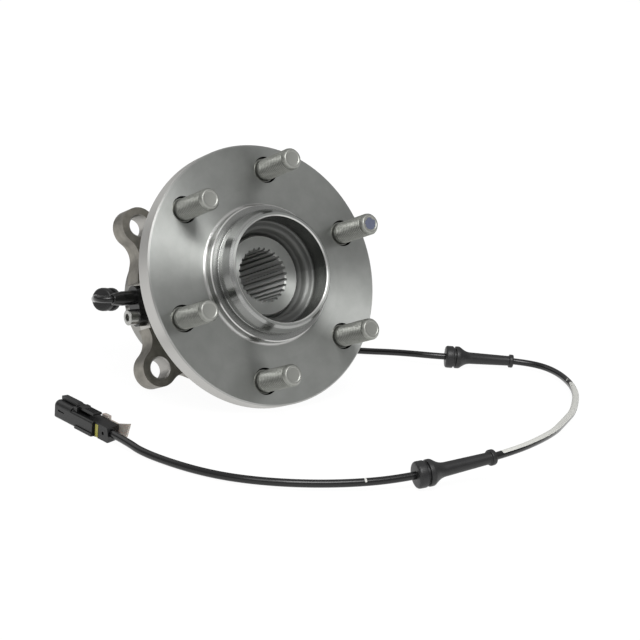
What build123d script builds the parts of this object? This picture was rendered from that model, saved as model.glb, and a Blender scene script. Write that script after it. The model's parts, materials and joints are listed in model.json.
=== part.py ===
from build123d import *
import os
from math import atan2, cos, pi, radians, sin, tan

# Wheel hub bearing unit of the driven, double-row angular-contact kind: a flanged hub with six wheel
# studs turns inside a flanged outer ring on two rows of balls, and a wired wheel-speed sensor reads a
# toothed ring between the rows. All sizes are in millimetres.
#
# Frame: +Z up. The origin is the middle of the wheel flange's front face, on the spin axis. The unit
# stands on a level surface as it does on a bench, leaning back on the rim of its flange and its two
# lower ears, so the spin axis points towards -Y and up. The sensor and the connector are on the -X side.
# Along the spin axis, a "station" is the distance in front of the flange's front face.

# ---------------------------------------------------------------- driving dimensions

# Wheel flange and studs
flange_radius = 70.2
flange_thickness = 11.1
flange_edge = 0.8
stud_count = 6
stud_circle_radius = 57.15
stud_clocking = 20.0
stud_thread_radius = 5.9
stud_reach = 26.8
stud_tip_radius = 4.5
stud_hole_radius = 6.5
stud_head_radius = 8.6
stud_head_height = 4.5
stud_head_edge = 0.8
stud_tip_taper = 1.5
stud_relief_radius = 7.2
stud_relief_depth = 1.6

# Pilots and nut recess on the front of the hub
wheel_pilot_radius = 33.0
wheel_pilot_reach = 16.5
wheel_pilot_tip_radius = 30.1
wheel_pilot_nose_radius = 31.4
wheel_pilot_nose_station = 15.0
wheel_pilot_lead_station = 10.6
wheel_pilot_back_station = 7.2
pilot_relief_radius = 32.1
pilot_relief_station = 6.6
disc_pilot_radius = 36.8
disc_pilot_reach = 5.4
disc_pilot_edge = 0.4
disc_pilot_root = 1.3
mouth_radius = 28.3
mouth_edge = 0.5
ledge_station = 3.2
ledge_shoulder = 2.1
ledge_rounding = 1.2
groove_radius = 23.6
groove_station = -8.0
groove_rounding = 0.9
boss_radius = 21.7
boss_station = -2.5
boss_edge = 0.7

# Splined bore
spline_count = 28
spline_minor_radius = 13.85
spline_major_radius = 15.05
spline_gap_width = 1.9
spline_flank_angle = 78
spline_overlap = 0.5
bore_edge = 0.75

# Back of the hub: the seal's journal, the spindle and the collar formed over the inner ring
flange_web_radius = 47.5
flange_web_step = 3.0
flange_web_rounding = 2.0
spindle_shoulder_radius = 33.5
spindle_shoulder_step = 4.6
spindle_shoulder_rounding = 2.5
seal_journal_start = 7.4
collar_height = 3.8
collar_radius = 24.0
collar_crown = 2.4
collar_side = 1.6

# Ball bearing
ball_diameter = 11.906
ball_count = 13
pitch_radius = 28.0
race_clearance = 0.04
outboard_row = -36.0
row_spacing = 35.0
inner_land_radius = 26.4
inner_low_radius = 22.5
outer_land_radius = 29.6
outer_low_radius = 33.5
inner_ring_bore_radius = 19.0
inner_ring_front = -60.0
inner_ring_back = -84.6
seal_journal_radius = 29.5
slinger_seat_radius = 27.4
slinger_seat_length = 5.4
slinger_seat_edge = 0.6
cage_wall = 2.2
cage_land_gap = 0.5
cage_edge = 0.3
cage_finger_reach = 2.8
cage_pocket_clearance = 0.15

# Outer ring
ring_front = -20.0
ring_back = -89.0
ring_body_radius = 44.0
ring_draft = 1.4
ring_edge = 0.8
ring_seal_edge = 0.4
ring_root_rounding = 3.0
spigot_edge = 1.4
spigot_radius = 38.1
seal_seat_radius = 35.6
seal_depth = 7.8
seal_case_wall = 0.8
seal_lip_height = 1.0
back_seal_seat_radius = 34.4
back_seal_depth = 9.4
ear_front = -48.0
ear_thickness = 11.3
ear_web_radius = 50.8
lower_ear_circle_radius = 59.3
lower_ear_angle = 42.0
upper_ear_circle_radius = 58.3
upper_ear_angle = 40.7
ear_lobe_radius = 10.2
ear_hole_radius = 5.5
ear_hole_chamfer = 0.7
ear_neck_fillet = 11.0

# Wheel-speed sensor
tone_teeth = 44
tone_radius = 26.0
tone_width = 9.0
tone_tooth_depth = 2.2
sensor_flat_radius = 46.4
sensor_flat_above = 7.4
sensor_flat_below = 17.6
sensor_probe_radius = 4.0
sensor_probe_edge = 0.6
sensor_collar_edge = 1.0
sensor_air_gap = 1.0
sensor_tab_thickness = 4.9
sensor_tab_width = 10.6
sensor_head_radius = 3.9
sensor_head_reach = 13.0
sensor_screw_offset = 10.5
sensor_screw_radius = 2.9
sensor_screw_length = 15.0
sensor_screw_depth = 12.5
sensor_bush_radius = 4.2
screw_head_radius = 4.25
screw_head_height = 5.2
screw_socket = 4.0
o_ring_depth = 8.0
o_ring_groove = 2.6
o_ring_side_gap = 0.5
o_ring_root_radius = 2.7
boot_seat_radius = 3.2
boot_start = 12.0
boot_end = 17.6
boot_tip_wall = 1.1

# Cable and grommets
cable_radius = 1.9
cable_exit_run = 8.0
cable_entry_run = 10.0
bend_share = 0.45
grommet_length = 42.0
grommet_head_radius = 6.5
grommet_head_thickness = 4.6
grommet_flange_thickness = 2.4
grommet_groove_radius = 5.2
grommet_groove_width = 1.2
knuckle_groove_width = 3.0
grommet_cone_length = 4.4
grommet_cone_rounding = 6.0
grommet_face_rounding = 1.4
grommet_edge_rounding = 0.6
grommet_barrel_radius = 3.5
grommet_tip_radius = 2.9
grommet_collar_radius = 3.9
grommet_collar_width = 2.5

# Connector
connector_yaw = 4.2
connector_x = -106.4
connector_y = -37.4
connector_width = 11.0
connector_length = 48.3
hood_height = 9.0
hood_start = 33.8
hood_rounding = 2.8
body_height = 7.4
body_start = 13.3
corner_rounding = 1.2
cable_entry_depth = 5.0
cable_entry_side = 1.3
cable_entry_height = 4.3
cap_length = 9.8
cap_half_width = 4.2
cap_skew = 4.3
cap_slope = 1.8
cap_mark_station = 5.5
cap_mark_height = 3.7
cap_mark_radius = 0.9
cap_rounding = 1.1
lock_thickness = 2.3
lock_height = 6.7
lock_width = 8.7
lock_foot = 0.3
rail_length = 15.3
rail_height = 1.6
rail_width = 0.6
cavity_wall = 1.1
cavity_depth = 15.0
cavity_rounding = 1.0
pin_pitch = 4.6
pin_height = 3.6
pin_radius = 0.5
pin_reach = 9.0
wire_seal_radius = 1.5
wire_seal_length = 5.0
window_station = 42.3
window_length = 5.5
window_height = 0.9
recess_depth = 0.5
latch_pivot_station = 31.5
latch_pivot_height = 8.6
latch_pin_radius = 0.8
latch_arm_half_width = 1.6
latch_arm_bottom = 9.2
latch_arm_top = 11.0
latch_end = 48.3
latch_tooth_station = 41.7
latch_tooth_length = 1.6
latch_tooth_bottom = 7.4
latch_pad_half_width = 2.5
latch_pad_start = 17.2
latch_pad_bottom = 9.0
latch_pad_top = 10.2
latch_ridges = 4
latch_ridge_depth = 0.35
latch_ridge_length = 8.0
latch_ridge_station = 22.2
latch_clearance = 0.25
latch_edge = 0.4
latch_foot_gap = 0.4
post_length = 3.2
post_height = 9.8
post_thickness = 1.3
clip_end = 20.0
clip_thickness = 1.2
clip_foot = 1.9
clip_waist = 6.6
clip_hook_length = 5.0
clip_hook_reach = 1.0
clip_wing_start = -2.6
clip_wing_root = 7.9
clip_wing_top = 9.4

# Fits, and the small roundings that turned and moulded edges share
press_gap = 0.01
running_gap = 0.05
fine_rounding = 0.5

# ---------------------------------------------------------------- stance and shared planes

ear_back = ear_front - ear_thickness
flange_back = -flange_thickness
sensor_row = outboard_row - row_spacing / 2
inboard_row = outboard_row - row_spacing
ears = [
    (upper_ear_circle_radius, upper_ear_angle),
    (upper_ear_circle_radius, 180 - upper_ear_angle),
    (lower_ear_circle_radius, 180 + lower_ear_angle),
    (lower_ear_circle_radius, -lower_ear_angle),
]

# The unit rests on the back corner of the flange's rim and on the back corner of its lower ears.
rim_contact_station = flange_back + flange_edge
ear_drop = lower_ear_circle_radius * sin(radians(lower_ear_angle)) + ear_lobe_radius
lean = atan2(flange_radius - ear_drop, rim_contact_station - ear_back)
table_height = -flange_radius * cos(lean) + rim_contact_station * sin(lean)

# HUB lies across the spin axis, and AXIAL holds it: AXIAL's x is the radius and its y is the station.
HUB = Plane(origin=(0, 0, 0), x_dir=(1, 0, 0), z_dir=(0, -cos(lean), sin(lean)))
AXIAL = Plane(origin=(0, 0, 0), x_dir=(1, 0, 0), z_dir=-HUB.y_dir)
SPIN = Axis((0, 0, 0), HUB.z_dir)

# SENSOR lies on the flat where the sensor is screwed down: x along the spin axis, y up, z outwards.
SENSOR = Plane(
    origin=HUB.from_local_coords((-sensor_flat_radius, 0, sensor_row)), x_dir=HUB.z_dir, z_dir=-HUB.x_dir
)

# CONNECTOR stands on the table: x from the cable end to the mating end, y to the left, z up.
CONNECTOR = Plane(
    origin=(connector_x, connector_y, table_height),
    x_dir=(-sin(radians(connector_yaw)), cos(radians(connector_yaw)), 0),
    z_dir=(0, 0, 1),
)


def half_section(outline, seat):
    """Return a sketch through (radius, station, corner rounding) points, beside the seat plane's normal."""
    with BuildSketch(Plane(origin=seat.origin, x_dir=seat.x_dir, z_dir=-seat.y_dir)) as half:
        with BuildLine():
            FilletPolyline(
                [(radius, station) for radius, station, _ in outline],
                radius=[rounding for _, _, rounding in outline],
                close=True,
            )
        make_face()
    return half.sketch


def turn(outline, seat=HUB, mode=Mode.ADD):
    """Revolve an outline about the normal of its seat plane, into the part that is being built."""
    revolve(half_section(outline, seat), axis=Axis(seat.origin, seat.z_dir), mode=mode)


def across(station):
    """Return the plane across the spin axis at a station."""
    return HUB.offset(station)


def finish(piece, name):
    """Label a finished piece and write it under its own name."""
    piece.part.label = name
    export_step(piece.part, f"parts/{name}.step")


os.makedirs("parts", exist_ok=True)

# ---------------------------------------------------------------- hub: flange, pilots, spindle

ball_radius = ball_diameter / 2
race_radius = ball_radius + race_clearance
spindle_back = inner_ring_back - collar_height

hub_outline = [
    (spline_minor_radius, boss_station - bore_edge, 0),
    (spline_minor_radius + bore_edge, boss_station, 0),
    (boss_radius - boss_edge, boss_station, 0),
    (boss_radius, boss_station - boss_edge, 0),
    (boss_radius, groove_station, groove_rounding),
    (groove_radius, groove_station, groove_rounding),
    (groove_radius, ledge_station, ledge_shoulder),
    (mouth_radius, ledge_station, ledge_rounding),
    (mouth_radius, wheel_pilot_reach - mouth_edge, 0),
    (mouth_radius + mouth_edge, wheel_pilot_reach, 0),
    (wheel_pilot_tip_radius, wheel_pilot_reach, 0),
    (wheel_pilot_nose_radius, wheel_pilot_nose_station, 0),
    (wheel_pilot_radius, wheel_pilot_lead_station, 0),
    (wheel_pilot_radius, wheel_pilot_back_station, 0),
    (pilot_relief_radius, pilot_relief_station, 0),
    (pilot_relief_radius, disc_pilot_reach, 0.6),
    (disc_pilot_radius - disc_pilot_edge, disc_pilot_reach, 0),
    (disc_pilot_radius, disc_pilot_reach - disc_pilot_edge, 0),
    (disc_pilot_radius, 0, disc_pilot_root),
    (flange_radius - flange_edge, 0, 0),
    (flange_radius, -flange_edge, 0),
    (flange_radius, rim_contact_station, 0),
    (flange_radius - flange_edge, flange_back, 0),
    (flange_web_radius, flange_back, flange_web_rounding),
    (flange_web_radius - flange_web_step, flange_back - flange_web_step, flange_web_rounding),
    (spindle_shoulder_radius, flange_back - spindle_shoulder_step, spindle_shoulder_rounding),
    (seal_journal_radius, flange_back - seal_journal_start, flange_web_rounding),
    (seal_journal_radius, ring_front - seal_depth - 0.4, fine_rounding),
    (inner_land_radius, ring_front - seal_depth - 1.0, fine_rounding),
    (inner_land_radius, outboard_row, 0),
    (inner_low_radius, outboard_row, 0),
    (inner_low_radius, inner_ring_front, fine_rounding),
    (inner_ring_bore_radius, inner_ring_front, fine_rounding),
    (inner_ring_bore_radius, inner_ring_back, 0),
    (collar_radius, inner_ring_back, 0),
    (collar_radius, inner_ring_back - collar_side, 2 * fine_rounding),
    (collar_radius - collar_crown, spindle_back, 2 * fine_rounding),
    (spline_minor_radius + 2 * bore_edge, spindle_back, 0),
    (spline_minor_radius, spindle_back + 2 * bore_edge, 0),
]

with BuildPart() as hub_flange:
    turn(hub_outline)
    with BuildSketch(AXIAL):
        with Locations((pitch_radius, outboard_row)):
            Circle(race_radius)
    revolve(axis=SPIN, mode=Mode.SUBTRACT)
    with BuildSketch(across(boss_station)):
        with PolarLocations(spline_minor_radius - spline_overlap, spline_count):
            Trapezoid(spline_gap_width, spline_major_radius - spline_minor_radius + spline_overlap,
                      spline_flank_angle, align=(Align.CENTER, Align.MIN), rotation=-90)
    extrude(amount=spindle_back - boss_station, mode=Mode.SUBTRACT)
    with BuildSketch(across(0)):
        with PolarLocations(stud_circle_radius, stud_count, start_angle=stud_clocking):
            Circle(stud_hole_radius)
    extrude(amount=flange_back, mode=Mode.SUBTRACT)
    with BuildSketch(across(0)):
        with PolarLocations(stud_circle_radius, stud_count, start_angle=stud_clocking):
            Circle(stud_relief_radius)
    extrude(amount=-stud_relief_depth, mode=Mode.SUBTRACT)
finish(hub_flange, "hub_flange")

stud_outline = [
    (0, flange_back - stud_head_height, 0),
    (stud_head_radius - stud_head_edge, flange_back - stud_head_height, 0),
    (stud_head_radius, flange_back - stud_head_height + stud_head_edge, 0),
    (stud_head_radius, flange_back, 0),
    (stud_hole_radius - press_gap, flange_back, 0),
    (stud_hole_radius - press_gap, -stud_relief_depth, 0),
    (stud_thread_radius, -stud_relief_depth, 0),
    (stud_thread_radius, stud_reach - stud_tip_taper, 0),
    (stud_tip_radius, stud_reach, 0),
    (0, stud_reach, 0),
]

with BuildPart() as wheel_stud:
    turn(stud_outline)

with BuildPart() as wheel_studs:
    with Locations(HUB):
        with PolarLocations(stud_circle_radius, stud_count, start_angle=stud_clocking):
            add(HUB.to_local_coords(wheel_stud.part))
finish(wheel_studs, "wheel_studs")

# ---------------------------------------------------------------- inner ring, pressed on the spindle

inner_ring_outline = [
    (inner_ring_bore_radius + press_gap, inner_ring_front, fine_rounding),
    (inner_low_radius, inner_ring_front, fine_rounding),
    (inner_low_radius, inboard_row, 0),
    (inner_land_radius, inboard_row, 0),
    (inner_land_radius, inner_ring_back + slinger_seat_length + 1, 0),
    (slinger_seat_radius, inner_ring_back + slinger_seat_length, 0),
    (slinger_seat_radius, inner_ring_back + slinger_seat_edge, 0),
    (slinger_seat_radius - slinger_seat_edge, inner_ring_back, 0),
    (inner_ring_bore_radius + press_gap, inner_ring_back, fine_rounding),
]

with BuildPart() as inner_ring:
    turn(inner_ring_outline)
    with BuildSketch(AXIAL):
        with Locations((pitch_radius, inboard_row)):
            Circle(race_radius)
    revolve(axis=SPIN, mode=Mode.SUBTRACT)
finish(inner_ring, "inner_ring")

# ---------------------------------------------------------------- outer ring, with its ears

ring_outline = [
    (seal_seat_radius + ring_seal_edge, ring_front, 0),
    (ring_body_radius - ring_edge, ring_front, 0),
    (ring_body_radius, ring_front - ring_edge, 0),
    (ring_body_radius + ring_draft, ear_front, ring_root_rounding),
    (ear_web_radius - ring_edge, ear_front, 0),
    (ear_web_radius - ring_edge, ear_back, 0),
    (spigot_radius, ear_back, fine_rounding),
    (spigot_radius, ring_back + spigot_edge, 0),
    (spigot_radius - spigot_edge, ring_back, 0),
    (back_seal_seat_radius + ring_seal_edge, ring_back, 0),
    (back_seal_seat_radius, ring_back + ring_seal_edge, 0),
    (back_seal_seat_radius, ring_back + back_seal_depth, ring_seal_edge),
    (outer_low_radius, ring_back + back_seal_depth, 0),
    (outer_low_radius, inboard_row, 0),
    (outer_land_radius, inboard_row, 0),
    (outer_land_radius, outboard_row, 0),
    (outer_low_radius, outboard_row, 0),
    (outer_low_radius, ring_front - seal_depth, 0),
    (seal_seat_radius, ring_front - seal_depth, ring_seal_edge),
    (seal_seat_radius, ring_front - ring_seal_edge, 0),
]

with BuildPart() as outer_ring:
    turn(ring_outline)
    with BuildSketch(AXIAL):
        with Locations((pitch_radius, outboard_row), (pitch_radius, inboard_row)):
            Circle(race_radius)
    revolve(axis=SPIN, mode=Mode.SUBTRACT)
    # The four ears stand on a round web. Each is a lobe on a straight neck, blended into the web.
    with BuildSketch(across(ear_back)) as ear_plate:
        Circle(ear_web_radius)
        for circle_radius, angle in ears:
            with Locations(Location((0, 0, 0), (0, 0, angle))):
                with Locations((circle_radius / 2, 0)):
                    Rectangle(circle_radius, 2 * ear_lobe_radius)
                with Locations((circle_radius, 0)):
                    Circle(ear_lobe_radius)
        necks = ear_plate.vertices().filter_by(
            lambda corner: abs(Vector(corner).length - ear_web_radius) < press_gap
        )
        fillet(necks, ear_neck_fillet)
        Circle(ear_web_radius - 2 * ring_edge, mode=Mode.SUBTRACT)
        for circle_radius, angle in ears:
            with PolarLocations(circle_radius, 1, start_angle=angle):
                Circle(ear_hole_radius, mode=Mode.SUBTRACT)
    extrude(amount=ear_thickness)
    ear_hole_rims = outer_ring.edges().filter_by(GeomType.CIRCLE).filter_by(
        lambda rim: abs(rim.radius - ear_hole_radius) < press_gap
    )
    chamfer(ear_hole_rims, ear_hole_chamfer)
    # The sensor's flat is milled across the web, with a bore to the toothed ring and a tapped hole.
    with BuildSketch(SENSOR):
        with Locations((0, (sensor_flat_above - sensor_flat_below) / 2)):
            Rectangle(2 * ear_thickness, sensor_flat_above + sensor_flat_below)
    extrude(amount=ear_web_radius, mode=Mode.SUBTRACT)
    with BuildSketch(SENSOR):
        Circle(sensor_probe_radius + running_gap)
    extrude(amount=outer_land_radius - sensor_flat_radius - 2, mode=Mode.SUBTRACT)
    with BuildSketch(SENSOR):
        with Locations((0, -sensor_screw_offset)):
            Circle(sensor_screw_radius + press_gap)
    extrude(amount=-sensor_screw_depth, mode=Mode.SUBTRACT)
finish(outer_ring, "outer_ring")

# ---------------------------------------------------------------- balls and cages

# A cage is a hoop on the inner side of its row, with fingers that reach round the balls. Both cages are
# alike: the second is the first one's mirror image in the plane of the sensor.
cage_hoop = ball_radius + cage_pocket_clearance
cage_inner = inner_low_radius + 2 * cage_land_gap
cage_outer = outer_land_radius - cage_land_gap
cage_step = inner_land_radius + cage_land_gap
cage_outline = [
    (cage_inner, -cage_hoop - cage_wall, cage_edge),
    (cage_outer, -cage_hoop - cage_wall, cage_edge),
    (cage_outer, cage_finger_reach, cage_edge),
    (cage_step, cage_finger_reach, cage_edge),
    (cage_step, cage_edge - cage_hoop, cage_edge),
    (cage_inner, cage_edge - cage_hoop, cage_edge),
]

for side, row, inward in (("outboard", outboard_row, 1), ("inboard", inboard_row, -1)):
    with BuildPart() as balls:
        with Locations(across(row)):
            with PolarLocations(pitch_radius, ball_count):
                Sphere(ball_radius)
    finish(balls, f"{side}_balls")

    with BuildPart() as cage:
        turn([(radius, row + inward * station, rounding) for radius, station, rounding in cage_outline])
        with Locations(across(row)):
            with PolarLocations(pitch_radius, ball_count):
                Sphere(ball_radius + cage_pocket_clearance, mode=Mode.SUBTRACT)
    finish(cage, f"{side}_cage")

# ---------------------------------------------------------------- seals

# Outboard seal: a steel case pressed into the outer ring, with a rubber body whose lips run on the hub.
# A case's leg stands on the journal side, and each rubber body fills the corner of its case.
case_outer = seal_seat_radius - press_gap
case_inner = case_outer - seal_case_wall
case_mouth = ring_front - seal_case_wall
case_back = ring_front - seal_depth + 0.1
case_floor = case_back + seal_case_wall
journal_clear = seal_journal_radius + running_gap
with BuildPart() as outboard_seal_case:
    turn([
        (case_inner, case_mouth, 0),
        (case_outer, case_mouth, 0),
        (case_outer, case_back, fine_rounding),
        (seal_journal_radius + 2.2, case_back, 0),
        (seal_journal_radius + 2.2, case_floor, 0),
        (case_inner, case_floor, fine_rounding),
    ])
finish(outboard_seal_case, "outboard_seal_case")

with BuildPart() as outboard_seal_lip:
    turn([
        (case_inner - press_gap, case_mouth, 0),
        (case_inner - press_gap, case_floor + running_gap, fine_rounding),
        (seal_journal_radius + 1.2, case_floor + running_gap, 0),
        (journal_clear, case_back + 1.6, 0),
        (journal_clear, case_back + 2.2, 0),
        (seal_journal_radius + 1.4, case_back + 2.9, 0),
        (seal_journal_radius + 1.0, ring_front - 0.3, 0),
        (seal_journal_radius + 2.0, ring_front - 0.3, 0),
        (seal_journal_radius + 3.0, case_back + 2.9, fine_rounding),
        (case_inner - seal_lip_height, case_back + 2.4, 0),
        (case_inner - seal_lip_height, case_mouth, 0),
    ])
finish(outboard_seal_lip, "outboard_seal_lip")

# Inboard seal: a cassette, with a case in the outer ring and a slinger pressed on the inner ring.
cassette_outer = back_seal_seat_radius - press_gap
cassette_inner = cassette_outer - seal_case_wall
cassette_front = ring_back + back_seal_depth - 0.1
cassette_floor = cassette_front - seal_case_wall
slinger_inner = slinger_seat_radius + press_gap
slinger_outer = slinger_inner + seal_case_wall
with BuildPart() as inboard_seal_case:
    turn([
        (cassette_outer, cassette_front, fine_rounding),
        (cassette_outer, inner_ring_back - 0.6, 0),
        (cassette_inner, inner_ring_back - 0.6, 0),
        (cassette_inner, cassette_floor, ring_seal_edge),
        (slinger_inner + 3.2, cassette_floor, 0),
        (slinger_inner + 3.2, cassette_front, 0),
    ])
finish(inboard_seal_case, "inboard_seal_case")

with BuildPart() as inboard_seal_lip:
    turn([
        (cassette_inner - press_gap, cassette_floor - running_gap, fine_rounding),
        (cassette_inner - press_gap, cassette_floor - 2.2, 0),
        (slinger_inner + 3.8, cassette_floor - 1.2, 0),
        (slinger_outer + running_gap, cassette_floor - 2.6, 0),
        (slinger_outer + running_gap, cassette_floor - 2.0, 0),
        (slinger_inner + 2.6, cassette_floor - running_gap, 0),
    ])
finish(inboard_seal_lip, "inboard_seal_lip")

with BuildPart() as inboard_slinger:
    turn([
        (slinger_inner, inner_ring_back + 4.8, 0),
        (slinger_outer, inner_ring_back + 4.8, 0),
        (slinger_outer, inner_ring_back + seal_case_wall, fine_rounding),
        (cassette_inner - 0.4, inner_ring_back + seal_case_wall, 0),
        (cassette_inner - 0.4, inner_ring_back, 0),
        (slinger_inner, inner_ring_back, fine_rounding),
    ])
finish(inboard_slinger, "inboard_slinger")

# ---------------------------------------------------------------- toothed ring and wheel-speed sensor

with BuildPart() as tone_ring:
    with BuildSketch(across(sensor_row - tone_width / 2)):
        Circle(tone_radius)
        Circle(inner_low_radius + press_gap, mode=Mode.SUBTRACT)
        with PolarLocations(tone_radius, tone_teeth):
            Rectangle(2 * tone_tooth_depth, pi * tone_radius / tone_teeth, mode=Mode.SUBTRACT)
    extrude(amount=tone_width)
finish(tone_ring, "tone_ring")

probe_length = sensor_flat_radius - tone_radius - sensor_air_gap
sensor_outline = [
    (0, -probe_length, 0),
    (sensor_probe_radius, -probe_length, sensor_probe_edge),
    (sensor_probe_radius, -o_ring_depth, 0),
    (o_ring_root_radius, -o_ring_depth, 0),
    (o_ring_root_radius, -o_ring_depth + o_ring_groove, 0),
    (sensor_probe_radius, -o_ring_depth + o_ring_groove, 0),
    (sensor_probe_radius, sensor_tab_thickness / 2, 0),
    (sensor_head_radius, sensor_tab_thickness / 2, 0),
    (sensor_head_radius, boot_start, 0),
    (boot_seat_radius, boot_start, 0),
    (boot_seat_radius, sensor_head_reach, 0),
    (0, sensor_head_reach, 0),
]

with BuildPart() as sensor_body:
    turn(sensor_outline, SENSOR)
    with BuildSketch(SENSOR):
        Circle(sensor_tab_width / 2 + sensor_collar_edge)
        with Locations((0, -sensor_screw_offset / 2)):
            Rectangle(sensor_tab_width, sensor_screw_offset)
        with Locations((0, -sensor_screw_offset)):
            Circle(sensor_tab_width / 2)
            Circle(sensor_bush_radius, mode=Mode.SUBTRACT)
    extrude(amount=sensor_tab_thickness)
finish(sensor_body, "sensor_body")

with BuildPart() as sensor_bush:
    with BuildSketch(SENSOR):
        with Locations((0, -sensor_screw_offset)):
            Circle(sensor_bush_radius - press_gap)
            Circle(sensor_screw_radius + 2 * running_gap, mode=Mode.SUBTRACT)
    extrude(amount=sensor_tab_thickness)
finish(sensor_bush, "sensor_bush")

SCREW = Plane(origin=SENSOR.from_local_coords((0, -sensor_screw_offset, sensor_tab_thickness)),
              x_dir=SENSOR.x_dir, z_dir=SENSOR.z_dir)
with BuildPart() as sensor_screw:
    turn([
        (0, -sensor_screw_length, 0),
        (sensor_screw_radius - fine_rounding, -sensor_screw_length, 0),
        (sensor_screw_radius, -sensor_screw_length + fine_rounding, 0),
        (sensor_screw_radius, 0, 0),
        (screw_head_radius, 0, 0),
        (screw_head_radius, screw_head_height, fine_rounding),
        (0, screw_head_height, 0),
    ], SCREW)
    with BuildSketch(SCREW.offset(screw_head_height)):
        RegularPolygon(screw_socket / 2, 6, major_radius=False)
    extrude(amount=-screw_head_height / 2, mode=Mode.SUBTRACT)
finish(sensor_screw, "sensor_screw")

o_ring_inner = o_ring_root_radius + press_gap
o_ring_outer = sensor_probe_radius + running_gap - press_gap
o_ring_stations = (o_ring_side_gap - o_ring_depth, o_ring_groove - o_ring_side_gap - o_ring_depth)
with BuildPart() as sensor_o_ring:
    turn([
        (o_ring_inner, o_ring_stations[0], fine_rounding),
        (o_ring_outer, o_ring_stations[0], fine_rounding),
        (o_ring_outer, o_ring_stations[1], fine_rounding),
        (o_ring_inner, o_ring_stations[1], fine_rounding),
    ], SENSOR)
finish(sensor_o_ring, "sensor_o_ring")

with BuildPart() as sensor_boot:
    turn([
        (boot_seat_radius + press_gap, boot_start, 0),
        (sensor_head_radius, boot_start, 0),
        (cable_radius + boot_tip_wall, boot_end, fine_rounding),
        (cable_radius + press_gap, boot_end, 0),
        (cable_radius + press_gap, sensor_head_reach + press_gap, 0),
        (boot_seat_radius + press_gap, sensor_head_reach + press_gap, 0),
    ], SENSOR)
finish(sensor_boot, "sensor_boot")

# ---------------------------------------------------------------- sensor cable

# The route's points are (x, y, height above the table), with a straight run for each of the three
# grommets. The first two points lie on the sensor's axis and the last two on the connector's cable hole.
route_heights = [
    (-70.0, 56.5, 47.5),
    (-64.5, 67.0, 45.0),
    (-54.5, 87.0, 38.5),
    (-9.0, 94.5, 34.5),
    (30.0, 99.0, 27.0),
    (58.0, 87.0, 7.0),
    (84.0, 73.5, 2.5),
    (110.5, 56.5, 2.0),
    (124.0, 34.5, 5.5),
    (139.5, 13.5, 7.0),
    (184.5, -3.0, 4.5),
    (194.5, -23.5, 4.0),
    (179.0, -59.5, 3.5),
    (141.0, -97.5, 6.0),
    (110.0, -122.0, 10.5),
    (76.5, -147.5, 15.0),
    (36.0, -161.0, 14.5),
    (-14.5, -150.5, 6.0),
    (-45.0, -140.5, 4.0),
    (-74.5, -124.0, 3.5),
    (-93.5, -99.5, 2.5),
    (-105.5, -64.5, 2.5),
]
cable_exit = SENSOR.from_local_coords((0, 0, sensor_head_reach))
cable_end = CONNECTOR.from_local_coords((cable_entry_depth, cable_entry_side, cable_entry_height))
route = [
    cable_exit,
    SENSOR.from_local_coords((0, 0, sensor_head_reach + cable_exit_run)),
    *[Vector(x, y, table_height + height) for x, y, height in route_heights],
    cable_end - CONNECTOR.x_dir * (cable_entry_depth + cable_entry_run),
    cable_end,
]

# Each corner is an arc whose tangents take a fixed share of the shorter run beside it.
bend_radii = []
for before, corner, after in zip(route, route[1:], route[2:]):
    turn_angle = radians((corner - before).get_angle(after - corner))
    shorter_run = min((corner - before).length, (after - corner).length)
    bend_radii.append(bend_share * shorter_run / tan(turn_angle / 2))
print("cable bend radii", [round(radius, 1) for radius in bend_radii])

with BuildPart() as sensor_cable:
    with BuildLine() as cable_line:
        FilletPolyline(route, radius=bend_radii)
    with BuildSketch(Plane(origin=cable_exit, z_dir=SENSOR.z_dir)):
        Circle(cable_radius)
    sweep()
print("cable length", round(cable_line.wire().length, 1))
finish(sensor_cable, "sensor_cable")

# Each grommet is a grooved rubber head with a long sleeve behind it. Stations run from the head's face.


def grommet_outline(groove_width):
    """Return a grommet's outline, with a groove of a given width between its head and its rear flange."""
    groove_end = grommet_head_thickness + groove_width
    cone_start = groove_end + grommet_flange_thickness
    return [
        (cable_radius + press_gap, 0, 0),
        (grommet_head_radius, 0, grommet_face_rounding),
        (grommet_head_radius, grommet_head_thickness, grommet_edge_rounding),
        (grommet_groove_radius, grommet_head_thickness, 0),
        (grommet_groove_radius, groove_end, 0),
        (grommet_head_radius, groove_end, grommet_edge_rounding),
        (grommet_head_radius, cone_start, grommet_edge_rounding),
        (grommet_barrel_radius, cone_start + grommet_cone_length, grommet_cone_rounding),
        (grommet_tip_radius, grommet_length - grommet_collar_width, 0),
        (grommet_collar_radius, grommet_length - grommet_collar_width, grommet_edge_rounding),
        (grommet_collar_radius, grommet_length, grommet_edge_rounding),
        (cable_radius + press_gap, grommet_length, 0),
    ]


# The name, the run it sits on, the distance of its first end along that run, which end comes first,
# and the width of the groove.
for name, run, distance, head_first, groove in (
    ("knuckle_grommet", 4, 2.2, True, knuckle_groove_width),
    ("strut_grommet", 11, 2.6, True, grommet_groove_width),
    ("body_grommet", 18, 5.5, False, grommet_groove_width),
):
    way = (route[run + 1] - route[run]).normalized()
    if head_first:
        seat = Plane(origin=route[run] + way * distance, z_dir=way)
    else:
        seat = Plane(origin=route[run] + way * (distance + grommet_length), z_dir=-way)
    with BuildPart() as grommet:
        turn(grommet_outline(groove), seat)
    finish(grommet, name)

# ---------------------------------------------------------------- connector


def section(station):
    """Return the plane across the connector at a distance from its cable end: x to the left, y up."""
    return Plane(
        origin=CONNECTOR.from_local_coords((station, 0, 0)), x_dir=CONNECTOR.y_dir, z_dir=CONNECTOR.x_dir
    )


def side_view(offset):
    """Return the plane along the connector at a distance from its middle: x to the mating end, y up."""
    return Plane(
        origin=CONNECTOR.from_local_coords((0, offset, 0)), x_dir=CONNECTOR.x_dir, z_dir=-CONNECTOR.y_dir
    )


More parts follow.
